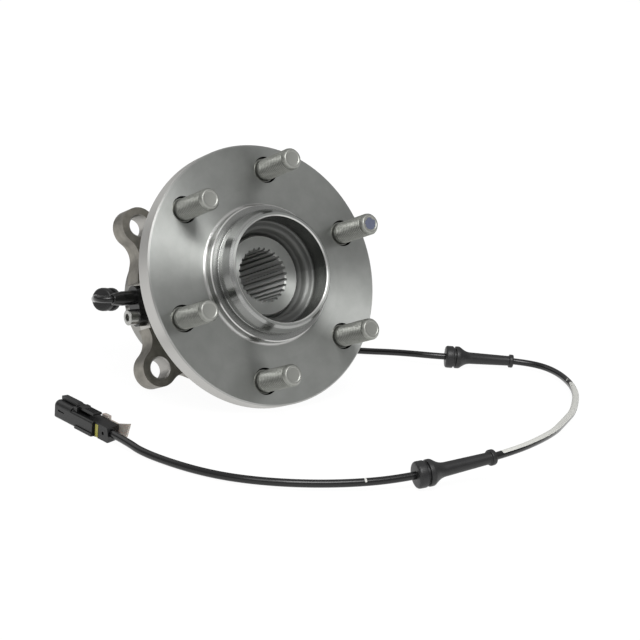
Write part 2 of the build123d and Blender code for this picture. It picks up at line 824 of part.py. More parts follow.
half_width = connector_width / 2
housing_start = cap_length + lock_thickness
with BuildPart() as connector_cap:
    # A side view with a tongue over the lock, cut off askew at the cable end.
    with BuildSketch(side_view(cap_half_width)):
        with BuildLine():
            FilletPolyline(
                [
                    (0, 0),
                    (cap_length, 0),
                    (cap_length, lock_height),
                    (housing_start, lock_height),
                    (housing_start, body_height),
                    (cap_slope, body_height),
                ],
                radius=[cap_rounding, 0, 0, 0, 0, cap_rounding],
                close=True,
            )
        make_face()
    extrude(amount=2 * cap_half_width)
    with BuildSketch(CONNECTOR):
        with BuildLine():
            Polyline(
                (-1, cap_half_width),
                (cap_slope / 2, cap_half_width),
                (cap_skew, -cap_half_width),
                (-1, -cap_half_width),
                close=True,
            )
        make_face()
    extrude(amount=body_height, mode=Mode.SUBTRACT)
    with BuildSketch(section(-1)):
        with Locations((cable_entry_side, cable_entry_height)):
            Circle(cable_radius + press_gap)
    extrude(amount=cable_entry_depth + 1, mode=Mode.SUBTRACT)
    with BuildSketch(side_view(cap_half_width)):
        with Locations((cap_mark_station, cap_mark_height)):
            Circle(cap_mark_radius)
    extrude(amount=cap_mark_radius, mode=Mode.SUBTRACT)
finish(connector_cap, "connector_cap")

with BuildPart() as connector_lock:
    with BuildSketch(section(cap_length)):
        with Locations((0, lock_foot)):
            Rectangle(lock_width, lock_height - lock_foot, align=(Align.CENTER, Align.MIN))
    extrude(amount=lock_thickness)
finish(connector_lock, "connector_lock")

pin_places = [(side * pin_pitch / 2, pin_height) for side in (1, -1)]
housing_length = connector_length - housing_start
with BuildPart() as connector_housing:
    # A neck beside the lock, a low body and a taller hood with rounded shoulders.
    with BuildSketch(section(housing_start)):
        Rectangle(2 * cap_half_width, body_height, align=(Align.CENTER, Align.MIN))
    extrude(amount=body_start - housing_start)
    with BuildSketch(section(body_start)):
        with Locations((0, body_height / 2)):
            RectangleRounded(connector_width, body_height, corner_rounding)
    extrude(amount=connector_length - body_start)
    with BuildSketch(section(hood_start)):
        with BuildLine():
            FilletPolyline(
                [(-half_width, 0), (half_width, 0), (half_width, hood_height), (-half_width, hood_height)],
                radius=[corner_rounding, corner_rounding, hood_rounding, hood_rounding],
                close=True,
            )
        make_face()
    extrude(amount=connector_length - hood_start)
    # Foot rails beside the floor, and posts for the latch's trunnions.
    with BuildSketch(side_view(half_width + rail_width)):
        with Locations((body_start, 0)):
            Rectangle(rail_length, rail_height, align=Align.MIN)
    extrude(amount=connector_width + 2 * rail_width)
    for side in (1, -1):
        with BuildSketch(side_view(side * (latch_pad_half_width + latch_clearance + post_thickness / 2))):
            with Locations((latch_pivot_station - post_length / 2, body_height - 1)):
                Rectangle(post_length, post_height - body_height + 1, align=Align.MIN)
            with Locations((latch_pivot_station, latch_pivot_height)):
                Circle(latch_pin_radius + running_gap, mode=Mode.SUBTRACT)
        extrude(amount=post_thickness / 2, both=True)
    # Mating cavity with the latch's slot in its roof, seal bores and pin passages.
    with BuildSketch(section(connector_length)):
        with Locations((0, hood_height / 2)):
            RectangleRounded(connector_width - 2 * cavity_wall, hood_height - 2 * cavity_wall, cavity_rounding)
    extrude(amount=-cavity_depth, mode=Mode.SUBTRACT)
    with BuildSketch(CONNECTOR.offset(hood_height / 2)):
        with Locations((latch_tooth_station, 0)):
            Rectangle(3 * latch_tooth_length, 2 * latch_arm_half_width + 2 * latch_clearance)
    extrude(amount=hood_height, mode=Mode.SUBTRACT)
    with BuildSketch(section(housing_start)):
        with Locations(*pin_places):
            Circle(wire_seal_radius)
    extrude(amount=wire_seal_length, mode=Mode.SUBTRACT)
    with BuildSketch(section(housing_start)):
        with Locations(*pin_places):
            Circle(pin_radius + press_gap)
    extrude(amount=housing_length - cavity_depth, mode=Mode.SUBTRACT)
    # A blind window for the mating half's catch on each side.
    for side in (1, -1):
        with BuildSketch(side_view(side * half_width)):
            with Locations((window_station, hood_height / 2)):
                Rectangle(window_length, window_height)
        extrude(amount=side * recess_depth, mode=Mode.SUBTRACT)
finish(connector_housing, "connector_housing")

with BuildPart() as wire_seals:
    with BuildSketch(section(housing_start)):
        with Locations(*pin_places):
            Circle(wire_seal_radius - press_gap)
    extrude(amount=wire_seal_length - press_gap)
finish(wire_seals, "wire_seals")

with BuildPart() as terminal_pins:
    with BuildSketch(section(housing_start + wire_seal_length)):
        with Locations(*pin_places):
            Circle(pin_radius)
    extrude(amount=housing_length - wire_seal_length - cavity_depth + pin_reach)
finish(terminal_pins, "terminal_pins")

# The latch is a rocker on two trunnions: pressing the ridged pad lifts the arm, and its tooth leaves the
# slot in the hood's roof.
pad_end = latch_pivot_station + post_length / 2
with BuildPart() as connector_latch:
    with BuildSketch(side_view(latch_pad_half_width)):
        with BuildLine():
            FilletPolyline(
                [
                    (latch_pad_start, latch_pad_bottom),
                    (latch_pivot_station - 2 * latch_pin_radius, latch_pad_bottom),
                    (latch_pivot_station - 1, body_height + latch_foot_gap),
                    (latch_pivot_station + 1, body_height + latch_foot_gap),
                    (pad_end, latch_arm_bottom),
                    (pad_end, latch_pad_top),
                    (latch_pad_start, latch_pad_top),
                ],
                radius=[latch_edge, 0, latch_edge, latch_edge, 0, 0, latch_edge],
                close=True,
            )
        make_face()
    extrude(amount=2 * latch_pad_half_width)
    tooth_ends = (latch_tooth_station - latch_tooth_length / 2, latch_tooth_station + latch_tooth_length / 2)
    with BuildSketch(side_view(latch_arm_half_width)):
        with BuildLine():
            FilletPolyline(
                [
                    (latch_pivot_station, latch_arm_bottom),
                    (tooth_ends[0], latch_arm_bottom),
                    (tooth_ends[0], latch_tooth_bottom),
                    (tooth_ends[1], latch_tooth_bottom + latch_edge),
                    (tooth_ends[1], latch_arm_bottom),
                    (latch_end, latch_arm_bottom),
                    (latch_end, latch_arm_top),
                    (pad_end + 1, latch_arm_top),
                    (latch_pivot_station - 1, latch_pad_top),
                ],
                radius=[0, 0, 0, 0, 0, latch_edge, latch_edge, 3 * latch_edge, 0],
                close=True,
            )
        make_face()
    extrude(amount=2 * latch_arm_half_width)
    with BuildSketch(side_view(latch_pad_half_width + latch_clearance + post_thickness)):
        with Locations((latch_pivot_station, latch_pivot_height)):
            Circle(latch_pin_radius)
    extrude(amount=2 * (latch_pad_half_width + latch_clearance + post_thickness))
    # Grip ridges along the pad stand between shallow grooves.
    ridge_pitch = 2 * latch_pad_half_width / latch_ridges
    with BuildSketch(CONNECTOR.offset(latch_pad_top)):
        with Locations((latch_ridge_station, 0)):
            with GridLocations(1, ridge_pitch, 1, latch_ridges - 1):
                Rectangle(latch_ridge_length, ridge_pitch / 2)
    extrude(amount=-latch_ridge_depth, mode=Mode.SUBTRACT)
finish(connector_latch, "connector_latch")

# The mounting clip is a plate on the connector's right side. Its hook holds the body's top edge, and its
# wing reaches past the cable end.
clip_inner = -half_width - press_gap
with BuildPart() as mounting_clip:
    with BuildSketch(side_view(clip_inner)):
        with BuildLine():
            Polyline(
                (0, clip_foot),
                (clip_end, clip_foot),
                (clip_end, body_height + press_gap + clip_thickness),
                (clip_end - clip_hook_length, body_height + press_gap + clip_thickness),
                (clip_end - clip_hook_length, clip_waist),
                (clip_wing_root, clip_waist),
                (clip_wing_start, clip_wing_top),
                close=True,
            )
        make_face()
    extrude(amount=clip_thickness)
    with BuildSketch(CONNECTOR.offset(body_height + press_gap)):
        with Locations((clip_end - clip_hook_length, clip_inner - clip_thickness)):
            Rectangle(clip_hook_length, clip_thickness + clip_hook_reach, align=Align.MIN)
    extrude(amount=clip_thickness)
finish(mounting_clip, "mounting_clip")
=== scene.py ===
"""Looks of a driven wheel hub bearing unit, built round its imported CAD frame.

The hub unit leans on the rim of its flange and on two of its ears. Its spin axis, its bodies and its nodes
come from the frame. Sizes here are in millimetres unless a name says otherwise, and meshes are in metres.
A "station" is the distance in front of the wheel flange's front face, along the spin axis.
"""

from __future__ import annotations

import json
import logging
import math
from dataclasses import dataclass, field
from enum import Enum
from typing import Any

import bpy
import numpy as np
from mathutils import Matrix, Vector

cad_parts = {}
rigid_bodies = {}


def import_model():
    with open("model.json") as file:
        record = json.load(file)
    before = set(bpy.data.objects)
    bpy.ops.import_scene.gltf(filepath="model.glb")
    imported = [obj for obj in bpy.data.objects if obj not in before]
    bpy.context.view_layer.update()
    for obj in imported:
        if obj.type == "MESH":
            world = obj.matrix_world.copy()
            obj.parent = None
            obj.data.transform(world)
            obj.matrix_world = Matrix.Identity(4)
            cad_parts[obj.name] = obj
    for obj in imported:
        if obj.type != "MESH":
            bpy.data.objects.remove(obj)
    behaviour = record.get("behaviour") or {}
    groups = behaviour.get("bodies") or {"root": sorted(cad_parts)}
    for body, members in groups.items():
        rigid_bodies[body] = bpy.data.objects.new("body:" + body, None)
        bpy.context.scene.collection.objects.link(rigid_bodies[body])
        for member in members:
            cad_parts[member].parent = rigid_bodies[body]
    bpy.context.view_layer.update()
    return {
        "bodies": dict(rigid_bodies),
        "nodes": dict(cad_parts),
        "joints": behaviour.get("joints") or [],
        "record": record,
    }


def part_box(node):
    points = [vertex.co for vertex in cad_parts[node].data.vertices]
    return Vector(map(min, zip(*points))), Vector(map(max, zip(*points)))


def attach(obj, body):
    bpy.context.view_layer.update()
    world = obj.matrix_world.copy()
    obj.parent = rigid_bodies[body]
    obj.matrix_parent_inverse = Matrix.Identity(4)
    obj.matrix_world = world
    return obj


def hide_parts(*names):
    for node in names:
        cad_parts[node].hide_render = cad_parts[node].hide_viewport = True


MM = 0.001
WHITE = (1.0, 1.0, 1.0, 1.0)
# Points of an outline or a path that lie nearer together than this are one point.
SAME_PLACE = 1e-6
# A Mix node keeps its two numbers, its two colours and its mixed colour in these places.
NUMBER_A, NUMBER_B, COLOUR_A, COLOUR_B, COLOUR_OUT = 2, 3, 6, 7, 2

log = logging.getLogger("wheel_hub")

Array = np.ndarray
Frame = dict[str, Any]
Material = bpy.types.Material
Piece = bpy.types.Object
Point = tuple[float, float, float]
Socket = bpy.types.NodeSocket
Span = tuple[float, float]
Tree = bpy.types.NodeTree


# ------------------------ small helpers


def linear(hex_colour: str) -> tuple[float, float, float, float]:
    """Turn an sRGB hex colour into Blender's linear colour.

    Args:
        hex_colour: six hex digits after a hash sign.

    Returns:
        Red, green, blue and an alpha of 1, each linear.
    """
    srgb = [int(hex_colour[start : start + 2], 16) / 255 for start in (1, 3, 5)]
    return (*[c / 12.92 if c <= 0.04045 else ((c + 0.055) / 1.055) ** 2.4 for c in srgb], 1.0)


def empty_tree(owner: Material | bpy.types.World) -> Tree:
    """Give a material or a world an empty node tree.

    Args:
        owner: the material or the world.

    Returns:
        The tree.
    """
    owner.use_nodes = True
    owner.node_tree.nodes.clear()
    return owner.node_tree


def feed(node: bpy.types.Node, inputs: dict[str | int, Any]) -> None:
    """Link or set a node's inputs.

    Args:
        node: the node.
        inputs: what each input gets, by name or number: a socket that feeds it, or a plain value.
    """
    for name, value in inputs.items():
        if isinstance(value, Socket):
            node.id_data.links.new(value, node.inputs[name])
        else:
            node.inputs[name].default_value = value


def add_node(
    tree: Tree, kind: str, inputs: dict[str | int, Any] | None = None, **options: object
) -> bpy.types.Node:
    """Add a node with its settings and links.

    Args:
        tree: the node tree that gets the node.
        kind: the shader node's type, such as Math.
        inputs: what its inputs get, as for feed.
        options: the node's own settings, by name.

    Returns:
        The new node.
    """
    node = tree.nodes.new(f"ShaderNode{kind}")
    for name, option in options.items():
        setattr(node, name, option)
    feed(node, inputs or {})
    return node


def new_mesh(name: str, points: Array, quads: Array, smooth_angle: float = 35.0) -> Piece:
    """Make a mesh object from whole arrays.

    Args:
        name: the piece's name.
        points: vertices in metres, of shape (n, 3).
        quads: vertex numbers of the faces, of shape (m, 4).
        smooth_angle: edges sharper than this, in degrees, stay sharp.

    Returns:
        The object, linked to the scene, at the origin.
    """
    mesh = bpy.data.meshes.new(name)
    mesh.from_pydata(points.tolist(), [], quads.tolist())
    mesh.validate()
    mesh.shade_smooth()
    mesh.set_sharp_from_angle(angle=math.radians(smooth_angle))
    mesh.update()
    piece = bpy.data.objects.new(name, mesh)
    bpy.context.scene.collection.objects.link(piece)
    return piece


def grid_quads(rows: int, sides: int) -> Array:
    """Number the quads of rings of vertices, of which each ring's last vertex meets its first.

    Args:
        rows: how many rings there are.
        sides: how many vertices a ring has.

    Returns:
        Vertex numbers of shape (quads, 4), turning the same way round.
    """
    row, side = np.divmod(np.arange((rows - 1) * sides), sides)
    here, beyond = row * sides, (row + 1) * sides
    following = (side + 1) % sides
    return np.stack([here + side, here + following, beyond + following, beyond + side], axis=-1)


def distinct(points: Array) -> Array:
    """Drop each point that is in the same place as the one before it."""
    steps = np.linalg.norm(np.diff(points, axis=0), axis=1)
    return points[np.concatenate([[True], steps > SAME_PLACE])]


def rounded(corners: Array, steps: int = 5) -> Array:
    """Round the inner corners of an open outline.

    Each corner is a quadratic curve between two points at its own distance along its two edges:
    (1-t)^2 a + 2t(1-t) c + t^2 b, so a distance of nought keeps the corner sharp.

    Args:
        corners: rows of (x, y, distance).
        steps: how many points a rounded corner has.

    Returns:
        The outline's points, of shape (n, 2).
    """
    spot, reach = corners[1:-1, :2], corners[1:-1, 2:3]
    before, after = corners[:-2, :2] - spot, corners[2:, :2] - spot
    a = spot + before / np.linalg.norm(before, axis=1, keepdims=True) * reach
    b = spot + after / np.linalg.norm(after, axis=1, keepdims=True) * reach
    t = np.linspace(0, 1, steps)[None, :, None]
    curve = (1 - t) ** 2 * a[:, None] + 2 * t * (1 - t) * spot[:, None] + t**2 * b[:, None]
    return distinct(np.vstack([corners[:1, :2], curve.reshape(-1, 2), corners[-1:, :2]]))


# ------------------------ where the unit stands


@dataclass(frozen=True)
class Stance:
    """How the unit leans, as unit vectors of its own frame, with the table's height in metres."""

    spin: Array
    across: Array
    up: Array
    table: float

    @classmethod
    def from_frame(cls, frame: Frame) -> Stance:
        """Read the spin axis from the hub's joint and the table from the flange's lowest point.

        Args:
            frame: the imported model.

        Returns:
            The stance, whose up is the cross product of the spin axis and the world's x.
        """
        joint = next(joint for joint in frame["joints"] if joint["name"] == "hub_spin")
        spin = np.array(joint["axis"], float)
        across = np.array([1.0, 0.0, 0.0])
        return cls(spin, across, np.cross(spin, across), float(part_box("hub_flange")[0][2]))

    def place(self, radius: Array, angle: Array, station: Array) -> Array:
        """Turn cylindrical sizes about the spin axis into points.

        A point is radius (across cos a + up sin a) + station spin.

        Args:
            radius: distances from the spin axis.
            angle: angles round it from the right-hand side, in radians.
            station: distances in front of the flange's face.

        Returns:
            Points in metres, with one more axis than the sizes have.
        """
        return MM * (
            (radius * np.cos(angle))[..., None] * self.across
            + (radius * np.sin(angle))[..., None] * self.up
            + station[..., None] * self.spin
        )


@dataclass(frozen=True)
class Coordinates:
    """Sockets that tell a metal where a point is about the spin axis, in millimetres."""

    position: Socket
    outward: Socket
    radius: Socket
    station: Socket


def millimetres(tree: Tree) -> Socket:
    """Return Object coordinates in millimetres."""
    place = add_node(tree, "TexCoord").outputs["Object"]
    return add_node(tree, "VectorMath", {0: place, "Scale": 1 / MM}, operation="SCALE").outputs[0]


def spin_coordinates(tree: Tree, stance: Stance) -> Coordinates:
    """Work out how far along the spin axis and how far out from it a point is.

    The station is the position's dot product with the spin axis, and the radius is the length of the
    outward part that is left when the axis times the station is taken from the position.

    Args:
        tree: the material's node tree.
        stance: the unit's stance, for its spin axis.

    Returns:
        The position and what follows from it.
    """
    axis = tuple(stance.spin)
    position = millimetres(tree)
    station = add_node(tree, "VectorMath", {0: position, 1: axis}, operation="DOT_PRODUCT").outputs["Value"]
    along = add_node(tree, "VectorMath", {0: axis, "Scale": station}, operation="SCALE")
    outward = add_node(
        tree, "VectorMath", {0: position, 1: along.outputs[0]}, operation="SUBTRACT"
    ).outputs[0]
    radius = add_node(tree, "VectorMath", {0: outward}, operation="LENGTH")
    return Coordinates(position, outward, radius.outputs["Value"], station)


# ------------------------ finishes


@dataclass(frozen=True)
class Zone:
    """A stretch of radius and station with its own colour and roughness, such as a barrel or a corner."""

    radius: Span
    station: Span
    colour: str
    roughness: float
    blur: float = 0.15

    def mask(self, tree: Tree, where: Coordinates) -> Socket:
        """Work out where the zone is, as the product of four steps, one for each of its limits.

        Args:
            tree: the material's node tree.
            where: the coordinates about the spin axis.

        Returns:
            A socket that is 1 inside the zone and 0 outside, over a blurred edge.
        """
        product: Socket | float = 1.0
        for value, (low, high) in ((where.radius, self.radius), (where.station, self.station)):
            for limit, start, end in ((low, 0.0, 1.0), (high, 1.0, 0.0)):
                step = add_node(
                    tree, "MapRange",
                    {"Value": value, "From Min": limit - self.blur, "From Max": limit + self.blur,
                     "To Min": start, "To Max": end},
                    interpolation_type="SMOOTHSTEP",
                )
                product = add_node(
                    tree, "Math", {0: step.outputs["Result"], 1: product}, operation="MULTIPLY"
                ).outputs[0]
        return product


@dataclass(frozen=True)
class Spot:
    """A round spot of another colour, such as a dab of paint or a drilled hole.

    Its middle is (radius, degrees, station). Noise makes its edge stray by up to half of `uneven`, over
    lengths of about `stray`.
    """

    place: Point
    reach: float
    colour: str
    metallic: float
    uneven: float = 0.0
    stray: float = 1.25

    def mask(self, tree: Tree, where: Coordinates, stance: Stance) -> Socket:
        """Work out where the spot is, as the points that lie nearer to its middle than its reach.

        Args:
            tree: the material's node tree.
            where: the coordinates about the spin axis.
            stance: the unit's stance, which places the spot's middle.

        Returns:
            A socket that is 1 inside the spot and 0 outside.
        """
        radius, degrees, station = self.place
        middle = stance.place(np.array(radius), np.radians(degrees), np.array(station)) / MM
        gap = add_node(tree, "VectorMath", {0: where.position, 1: tuple(middle)}, operation="DISTANCE")
        noise = add_node(tree, "TexNoise", {"Vector": where.position, "Scale": 1 / self.stray})
        reach = add_node(
            tree, "Math", {0: noise.outputs["Fac"], 1: self.uneven, 2: self.reach - self.uneven / 2},
            operation="MULTIPLY_ADD",
        )
        return add_node(
            tree, "Math", {0: gap.outputs["Value"], 1: reach.outputs[0]}, operation="LESS_THAN"
        ).outputs[0]


def fresh_material(name: str) -> tuple[Material, Tree, bpy.types.Node]:
    """Make an empty node material.

    Args:
        name: the material's name.

    Returns:
        The material, its tree and its Principled shader.
    """
    material = bpy.data.materials.new(name)
    tree = empty_tree(material)
    shader = add_node(tree, "BsdfPrincipled")
    add_node(tree, "OutputMaterial", {"Surface": shader.outputs[0]})
    return material, tree, shader


def mottled(tree: Tree, position: Socket, finish: TurnedSteel | GrainedMetal | Moulded) -> Socket:
    """Mix a finish's colour and its variation by noise.

    Args:
        tree: the material's node tree.
        position: the coordinates in millimetres.
        finish: what has the two colours, the patches' width, and the noise where the mix starts and ends.

    Returns:
        The mixed colour's socket.
    """
    low, high = finish.spread
    noise = add_node(
        tree, "TexNoise", {"Vector": position, "Scale": 1 / finish.patch, "Detail": 4.0, "Roughness": 0.6}
    )
    ramp = add_node(tree, "MapRange", {"Value": noise.outputs["Fac"], "From Min": low, "From Max": high})
    mix = add_node(
        tree, "Mix",
        {0: ramp.outputs["Result"], COLOUR_A: linear(finish.colour), COLOUR_B: linear(finish.variation)},
        data_type="RGBA",
    )
    return mix.outputs[COLOUR_OUT]


@dataclass
class Surface:
    """A metal's surface while its layers are laid; each number is plain where it holds all over."""

    tree: Tree
    colour: Socket
    roughness: Socket | float
    metallic: Socket | float = 1.0
    relief: Socket | float = 1.0

    def cover(self, mask: Socket, colour: str, **numbers: float) -> None:
        """Lay a colour, and any numbers that go with it, over what is there.

        Args:
            mask: a socket that is 1 where the new layer is.
            colour: the layer's colour.
            numbers: the layer's roughness, metallic or relief.
        """
        self.colour = add_node(
            self.tree, "Mix", {0: mask, COLOUR_A: self.colour, COLOUR_B: linear(colour)}, data_type="RGBA"
        ).outputs[COLOUR_OUT]
        for name, number in numbers.items():
            mix = add_node(self.tree, "Mix", {0: mask, NUMBER_A: getattr(self, name), NUMBER_B: number})
            setattr(self, name, mix.outputs[0])


@dataclass(frozen=True)
class TurnedSteel:
    """Steel cut on a lathe: fine rings round the spin axis, which stretch each highlight across them."""

    name: str
    colour: str
    variation: str
    roughness: float
    anisotropy: float
    ring_pitch: float
    ring_depth: float
    zones: tuple[Zone, ...] = ()
    patch: float = 9.0
    spread: Span = (0.35, 0.65)

    def material(self, stance: Stance) -> Material:
        """Build the material, with its zones laid over the base one after another.

        The rings are noise of radius plus station, because tool marks vary with radius on faces and with
        station on barrels. The highlights' direction is the cross product of the axis and the outward part.

        Args:
            stance: the unit's stance, for its spin axis.

        Returns:
            The material.
        """
        material, tree, shader = fresh_material(self.name)
        where = spin_coordinates(tree, stance)
        colour = mottled(tree, where.position, self)
        surface = Surface(tree, colour, self.roughness)
        for zone in self.zones:
            surface.cover(zone.mask(tree, where), zone.colour, roughness=zone.roughness)
        marks = add_node(tree, "Math", {0: where.radius, 1: where.station}, operation="ADD")
        rings = add_node(
            tree, "TexNoise", {"W": marks.outputs[0], "Scale": 1 / self.ring_pitch, "Detail": 2.0},
            noise_dimensions="1D",
        )
        bump = add_node(tree, "Bump", {"Height": rings.outputs["Fac"], "Distance": self.ring_depth * MM})
        turning = add_node(
            tree, "VectorMath", {0: tuple(stance.spin), 1: where.outward}, operation="CROSS_PRODUCT"
        )
        swirl = add_node(
            tree, "VectorTransform", {0: turning.outputs[0]}, convert_from="OBJECT", convert_to="WORLD"
        )
        # The rings run with the swirl, so the rougher way across them is a quarter turn from it.
        feed(shader, {
            "Base Color": surface.colour, "Roughness": surface.roughness, "Metallic": surface.metallic,
            "Anisotropic": self.anisotropy, "Anisotropic Rotation": 0.25, "Tangent": swirl.outputs[0],
            "Normal": bump.outputs[0],
        })
        return material


@dataclass(frozen=True)
class GrainedMetal:
    """Metal with a grainy skin, such as forged, phosphated or plated steel, with machined zones."""

    name: str
    colour: str
    variation: str
    patch: float
    roughness: float
    metallic: float
    grain: float
    grain_depth: float
    zones: tuple[Zone, ...] = ()
    spots: tuple[Spot, ...] = ()
    # Painted shade laid in the grooves, as deep as the mesh's groove attribute says.
    thread_shade_colour: str = ""
    machined_relief: float = 0.15
    spread: Span = (0.35, 0.65)

    def material(self, stance: Stance) -> Material:
        """Build the material: two mottled tones, with zones, spots and painted shade in the grooves over
        them.

        The grain is noise in the bump, and a machined zone keeps only a little of it.

        Args:
            stance: the unit's stance, for its spin axis.

        Returns:
            The material.
        """
        material, tree, shader = fresh_material(self.name)
        where = spin_coordinates(tree, stance)
        colour = mottled(tree, where.position, self)
        surface = Surface(tree, colour, self.roughness, self.metallic)
        for zone in self.zones:
            surface.cover(
                zone.mask(tree, where), zone.colour, roughness=zone.roughness, relief=self.machined_relief
            )
        for spot in self.spots:
            surface.cover(spot.mask(tree, where, stance), spot.colour, metallic=spot.metallic)
        # Painted shade: the thread's grooves darken by how deep each point lies in them.
        if self.thread_shade_colour:
            groove = add_node(tree, "Attribute", attribute_name="groove")
            surface.cover(groove.outputs["Fac"], self.thread_shade_colour)
        grain = add_node(tree, "TexNoise", {"Vector": where.position, "Scale": 1 / self.grain, "Detail": 3.0})
        height = add_node(tree, "Math", {0: grain.outputs["Fac"], 1: surface.relief}, operation="MULTIPLY")
        bump = add_node(tree, "Bump", {"Height": height.outputs[0], "Distance": self.grain_depth * MM})
        feed(shader, {
            "Base Color": surface.colour, "Roughness": surface.roughness, "Metallic": surface.metallic,
            "Normal": bump.outputs[0],
        })
        return material


@dataclass(frozen=True)
class Moulded:
    """Moulded plastic or rubber: a plain body with a faint second tone and a fine skin texture."""

    name: str
    colour: str
    variation: str
    roughness: float
    ior: float
    skin: float
    skin_depth: float
    subsurface: float = 0.0
    patch: float = 5.0
    spread: Span = (0.3, 0.7)

    def material(self, stance: Stance) -> Material:
        """Build the material from Object coordinates.

        Args:
            stance: the unit's stance, which a moulding doesn't follow.

        Returns:
            The material.
        """
        material, tree, shader = fresh_material(self.name)
        position = millimetres(tree)
        skin = add_node(tree, "TexNoise", {"Vector": position, "Scale": 1 / self.skin, "Detail": 2.0})
        bump = add_node(tree, "Bump", {"Height": skin.outputs["Fac"], "Distance": self.skin_depth * MM})
        colour = mottled(tree, position, self)
        feed(shader, {
            "Base Color": colour, "Roughness": self.roughness, "IOR": self.ior,
            "Subsurface Weight": self.subsurface, "Subsurface Scale": MM, "Normal": bump.outputs[0],
        })
        return material


@dataclass(frozen=True)
class CableJacket:
    """Extruded cable jacket: smooth and glossy, with painted marks read from the tube's UV map.

    The map's u is the share of a turn from the top, and its v is the distance along the cable in metres.
    The paint band and the tick are placed by v.
    """

    name: str = "black extruded cable jacket"
    colour: str = "#0c0c0d"
    paint: str = "#cfcfca"
    roughness: float = 0.22
    paint_roughness: float = 0.5
    ior: float = 1.5
    band: Span = (0.357, 0.5642)
    band_fade: float = 0.05
    band_share: float = 0.21
    band_turn: float = 0.06
    streak: float = 20 / 9
    tick: float = 0.6362
    tick_width: float = 1.0
    tick_share: float = 0.2

    def near_top(self, tree: Tree, share: Socket, turn: Socket | float, reach: float) -> Socket:
        """Find the part of the jacket that lies near its top line.

        A point u of the way round is | frac(u + turn) - 1/2 | from the bottom line, and the top is at 1/2.

        Args:
            tree: the material's node tree.
            share: u.
            turn: how far the top line is turned back round the jacket, as a share of a turn.
            reach: how far the part goes to each side of the top line, as a share of a turn.

        Returns:
            A socket that is 1 on that part and 0 elsewhere.
        """
        value = share
        for operation, number in (("ADD", turn), ("FRACT", 0.0), ("SUBTRACT", 0.5), ("ABSOLUTE", 0.0),
                                  ("GREATER_THAN", 0.5 - reach)):
            step = add_node(tree, "Math", {0: value, 1: number}, operation=operation)
            value = step.outputs[0]
        return value

    def band_mask(self, tree: Tree, share: Socket, distance: Socket) -> Socket:
        """Find the long band of paint, which fades in through speckles and ends in a straight edge.

        Args:
            tree: the material's node tree.
            share: the share of a turn from the top.
            distance: the distance along the cable.

        Returns:
            A socket that is 1 on the paint and 0 elsewhere.
        """
        start, end = self.band
        rise = add_node(
            tree, "MapRange", {"Value": distance, "From Min": start, "From Max": start + self.band_fade}
        )
        # The brush skipped in streaks a few millimetres long, drawn coarser than the jacket's own skin.
        place = add_node(tree, "TexCoord").outputs["Object"]
        speckle = add_node(
            tree, "TexNoise", {"Vector": place, "Scale": 1 / (self.streak * MM), "Detail": 3.0}
        )
        # The jacket twists, so the band starts on one side of the top and ends on the other.
        turn = add_node(tree, "MapRange", {
            "Value": distance, "From Min": start, "From Max": end,
            "To Min": self.band_turn, "To Max": -self.band_turn,
        })
        worn = add_node(tree, "Math", {0: rise.outputs["Result"], 1: speckle.outputs["Fac"]}, operation="ADD")
        mask = self.near_top(tree, share, turn.outputs["Result"], self.band_share)
        for operation, value, limit in (("GREATER_THAN", worn.outputs[0], 1.0), ("LESS_THAN", distance, end)):
            inside = add_node(tree, "Math", {0: value, 1: limit}, operation=operation)
            mask = add_node(tree, "Math", {0: mask, 1: inside.outputs[0]}, operation="MULTIPLY").outputs[0]
        return mask

    def tick_mask(self, tree: Tree, share: Socket, distance: Socket) -> Socket:
        """Find the short tick of paint across the top of the cable.

        Args:
            tree: the material's node tree.
            share: the share of a turn from the top.
            distance: the distance along the cable.

        Returns:
            A socket that is 1 on the paint and 0 elsewhere.
        """
        near = add_node(
            tree, "Math", {0: distance, 1: self.tick, 2: self.tick_width / 2 * MM}, operation="COMPARE"
        )
        top = self.near_top(tree, share, 0.0, self.tick_share)
        return add_node(tree, "Math", {0: near.outputs[0], 1: top}, operation="MULTIPLY").outputs[0]

    def material(self, stance: Stance) -> Material:
        """Build the material from the tube's UV map.

        Args:
            stance: the unit's stance, which the cable doesn't follow.

        Returns:
            The material.
        """
        material, tree, shader = fresh_material(self.name)
        where = add_node(tree, "UVMap", uv_map="along")
        share, distance, _ = add_node(tree, "SeparateXYZ", {0: where.outputs[0]}).outputs
        mark = add_node(
            tree, "Math",
            {0: self.band_mask(tree, share, distance), 1: self.tick_mask(tree, share, distance)},
            operation="MAXIMUM",
        ).outputs[0]
        colour = add_node(
            tree, "Mix", {0: mark, COLOUR_A: linear(self.colour), COLOUR_B: linear(self.paint)},
            data_type="RGBA",
        )
        roughness = add_node(
            tree, "Mix", {0: mark, NUMBER_A: self.roughness, NUMBER_B: self.paint_roughness}
        )
        feed(shader, {
            "Base Color": colour.outputs[COLOUR_OUT], "Roughness": roughness.outputs[0], "IOR": self.ior
        })
        return material


